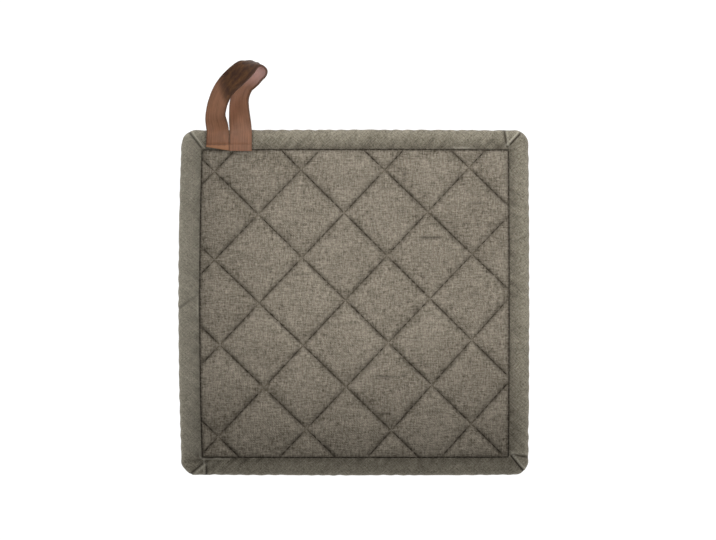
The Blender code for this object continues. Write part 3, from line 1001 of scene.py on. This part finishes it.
# The folded edge at the seam gets painted shade, and a painted highlight in places just above it.
binding_painted_shade = np.maximum(binding_painted_shade, nearness(skin_across - SEWN_WIDTH, 0.55)[None, :])
lip_highlight = nearness(skin_across - 10.3, 0.35)[None, :] * on_front
lip_highlight = lip_highlight * np.clip(1.6 * skin_rough(26.0) - 0.35, 0, 0.35)
binding_highlight = np.maximum(binding_highlight, lip_highlight)
# The cloth gets painted shade beside the strap that is sewn down on it.
from_strap = np.minimum(np.abs(skin_x - STRAP_LEFT), np.abs(skin_x - STRAP_RIGHT))
beside_strap = nearness(from_strap, 0.6) * (skin_y > STRAP_NEAR_END) * on_front
binding_painted_shade = np.maximum(binding_painted_shade, 1.2 * beside_strap)
skin = skin + outwards * (lift * skin_share[None, :])[:, :, None]

points = to_model(skin.reshape(-1, 3))
rows, columns = len(stations), SKIN_STEPS + 1
faces = []
face_corners = []
for row in range(rows):
    for column in range(SKIN_STEPS):
        after = (row + 1) % rows
        corners = ((row, column), (after, column), (after, column + 1), (row, column + 1))
        faces.append([r * columns + c for r, c in corners])
        face_corners.append((stations[row]["side"], corners))
strip_mesh = bpy.data.meshes.new("bias_binding")
strip_mesh.from_pydata(points.tolist(), [], faces)
strip = bpy.data.objects.new("bias_binding", strip_mesh)
bpy.context.scene.collection.objects.link(strip)
# Its UV map is in metres: along the side that a face belongs to, and over its section. So the weave meets
# itself at an angle along each mitre, as folded cloth does.
SIDE_DIRECTIONS = ((0, 1), (-1, 0), (0, -1), (1, 0))
SIDE_SHIFT = 300
uv_map = strip_mesh.uv_layers.new(name="cloth")
loop = 0
for side, corners in face_corners:
    direction = SIDE_DIRECTIONS[side]
    for r, c in corners:
        along = skin[r, c, 0] * direction[0] + skin[r, c, 1] * direction[1]
        uv_map.data[loop].uv = ((along + SIDE_SHIFT * side) * MM, skin_length[c] * MM)
        loop += 1
give_measure(strip, "painted_shade", np.clip(binding_painted_shade, 0, DEEPEST_FOLD).ravel())
give_measure(strip, "painted_highlight", np.clip(binding_highlight, 0, 0.75).ravel())


def apply_modifiers(obj):
    """Applies the object's modifiers, the first one first."""
    bpy.ops.object.select_all(action="DESELECT")
    obj.select_set(True)
    bpy.context.view_layer.objects.active = obj
    for name in [modifier.name for modifier in obj.modifiers]:
        bpy.ops.object.modifier_apply(modifier=name)


thickness = strip.modifiers.new("thickness", "SOLIDIFY")
thickness.thickness = CLOTH_THICKNESS * MM
thickness.offset = 0.0
apply_modifiers(strip)
strip.data.shade_smooth()

# The same washed linen, cut on the bias: its threads run at 45 degrees to the strip, and its slubs show a
# little less than the front's.
BINDING_PALE = "ABA493"
BINDING_DARK = "565042"
strip.data.materials.append(woven_linen("bias_cut_linen", BINDING_PALE, BINDING_DARK, 45, True, 0.85))
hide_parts("binding")
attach(strip, "root")

# The binding's seam: the same brown thread, sewn in the ditch beside the binding's folded edge on the
# front, and through its edge on the back.
SEAM_STITCH = 3.3
SEAM_STITCH_GAP = 0.16
SEAM_THREAD = 0.4
# Inset is how far inside the folded edge the line runs.
SEAM_LINES = (
    {"level": 6.55, "inset": 0.45},
    {"level": 0.35, "inset": -1.2},
)
seam_stitches = []
for seam_line in SEAM_LINES:
    inset = seam_line["inset"]
    ditch = [
        (-PAD_WIDTH / 2 + SEAM_LEFT + inset, PAD_DEPTH / 2 - SEAM_FAR - inset),
        (-PAD_WIDTH / 2 + SEAM_LEFT + inset, -PAD_DEPTH / 2 + SEAM_NEAR + inset),
        (PAD_WIDTH / 2 - SEAM_RIGHT - inset, -PAD_DEPTH / 2 + SEAM_NEAR + inset),
        (PAD_WIDTH / 2 - SEAM_RIGHT - inset, PAD_DEPTH / 2 - SEAM_FAR - inset),
    ]
    for corner in range(4):
        start = Vector(ditch[corner])
        end = Vector(ditch[(corner + 1) % 4])
        count = round((end - start).length / SEAM_STITCH)
        for step in range(count):
            first = bow(*start.lerp(end, (step + SEAM_STITCH_GAP / 2) / count))
            last = bow(*start.lerp(end, (step + 1 - SEAM_STITCH_GAP / 2) / count))
            ends = [Vector((*point, seam_line["level"])) for point in (first, last)]
            seam_stitches.append((*ends, 0.0))
seam_thread = sew("binding_seam_thread", seam_stitches, SEAM_THREAD)
seam_thread.data.materials.append(cotton)
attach(seam_thread, "root")

# The hanging loop: one strap of vegetable-tanned leather with square-cut edges, smooth side out. Its two
# ends lie side by side on the binding and are sewn through, and it is bent over on itself with a half
# twist, so the right leg shows its flesh side.
STRAP_WIDTH = 12.7
STRAP_THICKNESS = 1.3
STRAP_STEPS = 260
STRAP_COLUMNS = 12
BEND_EASE = 5
# Each row is a place along its middle line, from the left end over the bend to the right end, and lean is
# how far it has rolled over from lying flat, in degrees.
STRAP_ROWS = (
    {"x": -78.6, "y": 88.3, "level": 8.45, "lean": 0},
    {"x": -78.5, "y": 93.4, "level": 9.25, "lean": 0},
    {"x": -78.4, "y": 98.9, "level": 9.5, "lean": 1},
    {"x": -79.6, "y": 106.8, "level": 12.6, "lean": 29},
    {"x": -77.9, "y": 115.0, "level": 14.8, "lean": 31},
    {"x": -74.2, "y": 122.4, "level": 16.6, "lean": 26},
    {"x": -68.4, "y": 128.4, "level": 18.0, "lean": 14},
    {"x": -62.4, "y": 133.4, "level": 18.6, "lean": 30},
    {"x": -57.0, "y": 136.6, "level": 16.0, "lean": 78},
    {"x": -53.0, "y": 133.2, "level": 11.6, "lean": 114},
    {"x": -57.0, "y": 128.4, "level": 8.4, "lean": 130},
    {"x": -63.2, "y": 123.2, "level": 7.8, "lean": 136},
    {"x": -66.0, "y": 115.8, "level": 8.6, "lean": 143},
    {"x": -66.0, "y": 107.4, "level": 9.2, "lean": 156},
    {"x": -65.3, "y": 98.9, "level": 9.5, "lean": 179},
    {"x": -65.4, "y": 93.4, "level": 9.25, "lean": 180},
    {"x": -65.5, "y": 86.6, "level": 8.4, "lean": 180},
)
STITCHED_ACROSS_Y = 90.2
LEGS_PART_Y = 100.0
STITCH_DENT = 0.38
STITCH_DENT_WIDTH = 0.55
EDGE_ROUNDING = 0.22
LEATHER_GRAIN = "76503A"
LEATHER_PALE = "90664C"
LEATHER_BAND = "3A2213"
LEATHER_BAND_STREAK = "6E4A28"
# The colour of the left end's painted highlight.
LEATHER_HIGHLIGHT = "AD7B57"
LEATHER_FLESH = "B99187"
LEATHER_EDGE = "4A3223"
# The left end is cut aslant, so its inner corner reaches as far as the right end does. The two legs are
# sewn edge to edge, which the solid's gap leaves out.
END_SLANT = 1.9
END_REACH = 8.0
INNER_EDGE_OUT = 0.18
SEWN_REACH = 16.0
BEND_SHARE = 0.11
BAND_SLANT = 0.033


def strap_section(share):
    """At a share of the way along: the middle point, the way across, and the grain side's normal."""

    def middle(at):
        return Vector([smooth_through([row[key] for row in STRAP_ROWS], at) for key in ("x", "y", "level")])

    small = 0.002
    ahead = (middle(min(1.0, share + small)) - middle(max(0.0, share - small))).normalized()
    lean = math.radians(smooth_through([row["lean"] for row in STRAP_ROWS], share))
    level_across = Vector((ahead.y, -ahead.x, 0)).normalized()
    up_across = level_across.cross(ahead)
    across = level_across * math.cos(lean) + up_across * math.sin(lean)
    return middle(share), across, across.cross(ahead)


def eased_section(step):
    """A section averaged with its neighbours, because leather this thick takes no sharp turn."""
    reach = min(BEND_EASE, step, STRAP_STEPS - step)
    nearby = [strap_section((step + shift) / STRAP_STEPS) for shift in range(-reach, reach + 1)]
    middle, across, normal = [sum(vectors, Vector()) / len(nearby) for vectors in zip(*nearby)]
    across = across.normalized()
    return middle, across, (normal - across * normal.dot(across)).normalized()


sections = [eased_section(step) for step in range(STRAP_STEPS + 1)]
# The strap's length is the mean of its two edges' lengths, which the half twist makes uneven here.
edge_lengths = []
for side in (-1, 1):
    edge_line = [middle + across * side * STRAP_WIDTH / 2 for middle, across, normal in sections]
    edge_lengths.append(sum((b - a).length for a, b in zip(edge_line, edge_line[1:])))
strap_length = sum(edge_lengths) / 2
bm = bmesh.new()
uv = bm.loops.layers.uv.new("strap")
bmesh.ops.create_grid(bm, x_segments=STRAP_STEPS, y_segments=STRAP_COLUMNS, size=1)
for face in bm.faces:
    for corner in face.loops:
        place = corner.vert.co
        corner[uv].uv = ((place.x + 1) / 2 * strap_length * MM, place.y * STRAP_WIDTH / 2 * MM)
for vert in bm.verts:
    step = round((vert.co.x + 1) / 2 * STRAP_STEPS)
    middle, across, normal = sections[step]
    side = vert.co.y
    reach = side * STRAP_WIDTH / 2
    from_end = min(step, STRAP_STEPS - step) / STRAP_STEPS * strap_length
    sewn = max(0.0, 1 - from_end / SEWN_REACH)
    reach += max(0.0, side) * INNER_EDGE_OUT * min(1.0, 2 * sewn)
    # The leather is a little uneven, except in the bend, which is drawn tight.
    calm = 1 - 0.85 * nearness(step / STRAP_STEPS - 0.5, BEND_SHARE)
    uneven = 0.14 * noise.noise((step / 9, reach / 5, 3.0))
    uneven += 0.07 * noise.noise((step / 3.5, reach / 6, 8.0))
    vert.co = middle + across * reach + normal * float(uneven * calm)
    if step < STRAP_STEPS / 2:
        vert.co.y -= END_SLANT * (0.4 + side) / 2 * max(0.0, 1 - from_end / END_REACH)
bmesh.ops.recalc_face_normals(bm, faces=bm.faces)
strap = to_object("leather_strap", bm)
# Its left end lies with the smooth side up.
left_end_face = strap.data.polygons[STRAP_COLUMNS // 2]
if left_end_face.normal.z < 0:
    strap.data.flip_normals()
set_points(strap, to_model(points_of(strap.data)))
thickness = strap.modifiers.new("thickness", "SOLIDIFY")
thickness.thickness = STRAP_THICKNESS * MM
thickness.offset = 0.0
thickness.use_even_offset = True
rounding = strap.modifiers.new("rounding", "BEVEL")
rounding.width = EDGE_ROUNDING * MM
rounding.segments = 2
rounding.limit_method = "ANGLE"
rounding.angle_limit = math.radians(50)
apply_modifiers(strap)

# Which side of the leather each point is on, read from where it lies about the nearest section.
strap_points = points_of(strap.data) / MM - (0, PAD_MIDDLE_Y, 0)
middles = np.array([section[0][:] for section in sections])
normals = np.array([section[2][:] for section in sections])
crossways = np.array([section[1][:] for section in sections])
vertex_step = np.zeros(len(strap_points), dtype=int)
uv_data = strap.data.uv_layers.active.data
for corner in strap.data.loops:
    vertex_step[corner.vertex_index] = round(uv_data[corner.index].uv[0] / MM / strap_length * STRAP_STEPS)
vertex_step = np.clip(vertex_step, 0, STRAP_STEPS)
away = strap_points - middles[vertex_step]
height = (away * normals[vertex_step]).sum(axis=1)
side_reach = (away * crossways[vertex_step]).sum(axis=1)
flesh = (height < 0).astype(float)
edge = np.clip((np.abs(side_reach) - (STRAP_WIDTH / 2 - 0.55)) / 0.5, 0, 1)
# Where the two legs touch, their cut edges hardly show.
legs_meet = (side_reach > 0) & (strap_points[:, 1] < LEGS_PART_Y)
edge[legs_meet] *= 0.35
# The dark stretch starts further along at the strap's outer edge than at its inner one.
lengthwise = vertex_step / STRAP_STEPS + BAND_SLANT * side_reach / (STRAP_WIDTH / 2)
strap_points[:, 2] -= STITCH_DENT * nearness(strap_points[:, 1] - STITCHED_ACROSS_Y, STITCH_DENT_WIDTH)
# Below the stitches the left end gets a painted highlight, and no cut edge shows dark.
end_highlight = 0.5 * (strap_points[:, 1] < STITCHED_ACROSS_Y - 0.5) * (vertex_step < STRAP_STEPS / 2)
edge *= strap_points[:, 1] > STITCHED_ACROSS_Y
set_points(strap, to_model(strap_points))
give_measure(strap, "flesh", flesh)
give_measure(strap, "cut_edge", edge)
give_measure(strap, "lengthwise", lengthwise)
give_measure(strap, "end_highlight", end_highlight)
strap.data.shade_smooth()
strap.data.set_sharp_from_angle(angle=math.radians(45))

# Vegetable-tanned leather, waxed: a low sheen, fine streaks along the strap, pores, a dark stretch from
# the left leg into the bend, a paler pinkish flesh side and dark cut edges.
leather, leather_output = new_material("waxed_leather")
strap_uv = add_node(leather, "ShaderNodeTexCoord")
strap_mm = add_node(
    leather, "ShaderNodeMapping", inputs={"Vector": strap_uv.outputs["UV"], "Scale": (1 / MM, 1 / MM, 1)}
)


def leather_noise(length, width, detail):
    """Noise in patches of that length along the strap and width across it."""
    stretched = add_node(
        leather,
        "ShaderNodeMapping",
        inputs={"Vector": strap_mm.outputs[0], "Scale": (1 / length, 1 / width, 1)},
    )
    made = add_node(
        leather,
        "ShaderNodeTexNoise",
        inputs={"Vector": stretched.outputs[0], "Scale": 1.0, "Detail": detail, "Roughness": 0.6},
    )
    return made.outputs["Fac"]


streaks = leather_noise(16.0, 0.7, 3.0)
patches = leather_noise(9.0, 5.0, 3.0)
pores = leather_noise(0.5, 0.4, 2.0)
streaked = add_node(
    leather,
    "ShaderNodeMapRange",
    inputs={"Value": streaks, "From Min": 0.3, "From Max": 0.7, "To Min": 0.0, "To Max": 1.0},
)
grain_colour = add_node(
    leather,
    "ShaderNodeMix",
    {"data_type": "RGBA"},
    {0: streaked.outputs[0], 6: linear(LEATHER_GRAIN), 7: linear(LEATHER_PALE)},
)
# Where along the strap the dark stretch shows on its smooth side, and the raw pink on its flesh side: a
# place from 0 to 1 along it, and how much shows there.
BAND_STOPS = ((0.275, 0.0), (0.30, 0.75), (0.33, 1.0), (0.53, 1.0), (0.60, 0.2), (0.70, 0.0))
BEND_STOPS = ((0.42, 0.0), (0.47, 1.0), (0.60, 1.0), (0.69, 0.04))
how_far = add_node(leather, "ShaderNodeAttribute", {"attribute_name": "lengthwise"})
band = add_node(leather, "ShaderNodeValToRGB", inputs={"Fac": how_far.outputs["Fac"]})
bend = add_node(leather, "ShaderNodeValToRGB", inputs={"Fac": how_far.outputs["Fac"]})
for ramp, stops in ((band, BAND_STOPS), (bend, BEND_STOPS)):
    while len(ramp.color_ramp.elements) < len(stops):
        ramp.color_ramp.elements.new(0.5)
    for element, (position, value) in zip(ramp.color_ramp.elements, stops):
        element.position = position
        element.color = (value, value, value, 1)
band_patches = add_node(
    leather,
    "ShaderNodeMapRange",
    inputs={
        "Value": leather_noise(5.0, 2.2, 4.0),
        "From Min": 0.42,
        "From Max": 0.75,
        "To Min": 0.0,
        "To Max": 0.7,
    },
)
band_shade = add_node(
    leather,
    "ShaderNodeMix",
    {"data_type": "RGBA"},
    {0: band_patches.outputs[0], 6: linear(LEATHER_BAND), 7: linear(LEATHER_BAND_STREAK)},
)
band_colour = add_node(
    leather,
    "ShaderNodeMix",
    {"data_type": "RGBA"},
    {0: band.outputs["Color"], 6: grain_colour.outputs[2], 7: band_shade.outputs[2]},
)
flesh_side = add_node(leather, "ShaderNodeAttribute", {"attribute_name": "flesh"})
flesh_colour = add_node(
    leather,
    "ShaderNodeMix",
    {"data_type": "RGBA"},
    {0: bend.outputs["Color"], 6: grain_colour.outputs[2], 7: linear(LEATHER_FLESH)},
)
two_sides = add_node(
    leather,
    "ShaderNodeMix",
    {"data_type": "RGBA"},
    {0: flesh_side.outputs["Fac"], 6: band_colour.outputs[2], 7: flesh_colour.outputs[2]},
)
mottle = add_node(
    leather,
    "ShaderNodeMapRange",
    inputs={"Value": patches, "From Min": 0.3, "From Max": 0.7, "To Min": 0.84, "To Max": 1.12},
)
mottled = add_node(
    leather,
    "ShaderNodeVectorMath",
    {"operation": "SCALE"},
    {0: two_sides.outputs[2], "Scale": mottle.outputs[0]},
)
cut_edge = add_node(leather, "ShaderNodeAttribute", {"attribute_name": "cut_edge"})
edge_share = add_node(
    leather, "ShaderNodeMath", {"operation": "MULTIPLY"}, {0: cut_edge.outputs["Fac"], 1: 0.75}
)
leather_colour = add_node(
    leather,
    "ShaderNodeMix",
    {"data_type": "RGBA"},
    {0: edge_share.outputs[0], 6: mottled.outputs[0], 7: linear(LEATHER_EDGE)},
)
end_highlight_share = add_node(leather, "ShaderNodeAttribute", {"attribute_name": "end_highlight"})
with_end_highlight = add_node(
    leather,
    "ShaderNodeMix",
    {"data_type": "RGBA"},
    {0: end_highlight_share.outputs["Fac"], 6: leather_colour.outputs[2], 7: linear(LEATHER_HIGHLIGHT)},
)
leather_height = add_node(
    leather, "ShaderNodeMath", {"operation": "MULTIPLY_ADD"}, {0: pores, 1: 0.5, 2: streaks}
)
leather_relief = add_node(
    leather,
    "ShaderNodeBump",
    inputs={"Height": leather_height.outputs[0], "Strength": 0.5, "Distance": 0.16 * MM},
)
leather_gloss = add_node(
    leather,
    "ShaderNodeMapRange",
    inputs={"Value": patches, "From Min": 0.3, "From Max": 0.7, "To Min": 0.42, "To Max": 0.6},
)
leather_shader = add_node(
    leather,
    "ShaderNodeBsdfPrincipled",
    inputs={
        "Base Color": with_end_highlight.outputs[2],
        "Roughness": leather_gloss.outputs[0],
        "Normal": leather_relief.outputs[0],
        "Specular IOR Level": 0.22,
    },
)
finish_with(leather, leather_output, leather_shader)
strap.data.materials.append(leather)
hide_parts("hanging_loop")
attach(strap, "root")

# The strap's stitches: brown waxed thread across both ends, sunk in the line that they draw.
STRAP_STITCH = 3.1
STRAP_STITCH_GAP = 0.2
STRAP_STITCH_LEVEL = 9.1
STRAP_THREAD = 0.45
WAXED_THREAD = "6E4C36"
STITCH_LINES = (
    {"from_x": -84.4, "to_x": -72.8},
    {"from_x": -71.2, "to_x": -59.6},
)
strap_stitches = []
for line in STITCH_LINES:
    start = Vector((line["from_x"], STITCHED_ACROSS_Y, STRAP_STITCH_LEVEL))
    end = Vector((line["to_x"], STITCHED_ACROSS_Y, STRAP_STITCH_LEVEL))
    count = round((end - start).length / STRAP_STITCH)
    for step in range(count):
        first = start.lerp(end, (step + STRAP_STITCH_GAP / 2) / count)
        last = start.lerp(end, (step + 1 - STRAP_STITCH_GAP / 2) / count)
        strap_stitches.append((first, last, 0.0))
strap_thread = sew("strap_thread", strap_stitches, STRAP_THREAD)
waxed, waxed_output = new_material("waxed_brown_thread")
waxed_shader = add_node(
    waxed,
    "ShaderNodeBsdfPrincipled",
    inputs={"Base Color": linear(WAXED_THREAD), "Roughness": 0.55},
)
finish_with(waxed, waxed_output, waxed_shader)
strap_thread.data.materials.append(waxed)
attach(strap_thread, "root")
